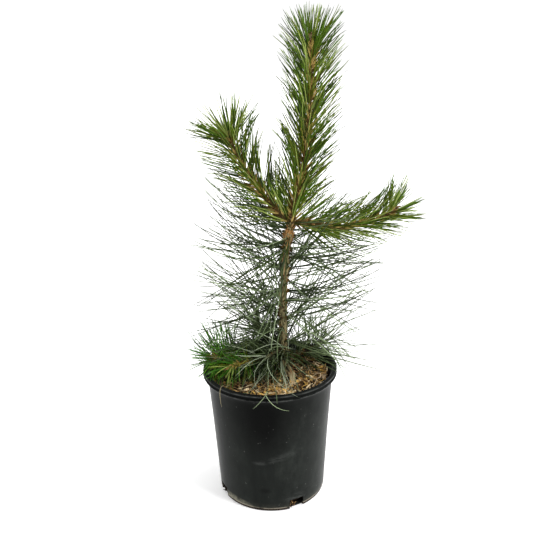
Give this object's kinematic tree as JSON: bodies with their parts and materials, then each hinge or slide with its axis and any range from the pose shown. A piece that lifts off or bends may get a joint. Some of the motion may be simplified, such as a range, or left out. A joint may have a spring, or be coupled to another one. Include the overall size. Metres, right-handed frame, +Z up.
{
  "type": "potted ponderosa pine",
  "caption": "Young ponderosa pine in a round nursery pot: an upright leader, a side bough to each side, long sparse old needles below them and low tufts over a mulch of bark chips.",
  "frame": {"origin": "centre of the pot's flat underside, on the surface that the pot stands on", "axes": "+Z up along the tree; -Y towards the side that the picture shows; +X to that side's right, where the right-hand bough reaches"},
  "size_m": [0.3928, 0.3322, 0.8021],
  "materials": {
    "pot_plastic": "satin moulded black plastic, with a little dust and dirt at its foot",
    "growing_medium": "damp shredded bark and wood",
    "bark_chips": "dry split bark and wood",
    "wood_splinter": "dry split wood, greenish at its foot",
    "bark": "rough scaly young bark, orange-brown on new shoots",
    "leader_needles": "olive green needles with a soft sheen",
    "old_needles": "grey-green needles with a soft sheen",
    "fresh_needles": "bright green needles with a soft sheen"
  },
  "bodies": {
    "root": {"pot": "pot_plastic", "growing_medium": "growing_medium", "bark_chip_01": "bark_chips", "bark_chip_02": "bark_chips", "bark_chip_03": "bark_chips", "bark_chip_04": "bark_chips", "bark_chip_05": "bark_chips", "bark_chip_06": "bark_chips", "bark_chip_07": "bark_chips", "bark_chip_08": "bark_chips", "bark_chip_09": "bark_chips", "bark_chip_10": "bark_chips", "bark_chip_11": "bark_chips", "bark_chip_12": "bark_chips", "wood_splinter": "wood_splinter", "trunk": "bark", "leader_needles_1": "leader_needles", "leader_needles_2": "leader_needles", "leader_needles_3": "leader_needles", "leader_needles_4": "leader_needles", "trunk_needles_1": "old_needles", "trunk_needles_2": "old_needles", "trunk_needles_3": "old_needles", "trunk_needles_4": "old_needles", "left_bough": "bark", "left_bough_needles": "leader_needles", "right_bough": "bark", "right_bough_needles": "leader_needles", "low_left_branch": "bark", "low_left_tuft": "fresh_needles", "low_side_branch": "bark", "low_side_tuft": "fresh_needles", "low_back_branch": "bark", "low_back_tuft": "old_needles", "low_right_branch": "bark", "low_right_tuft": "old_needles", "low_front_branch": "bark", "low_front_tuft": "old_needles"}
  },
  "joints": []
}
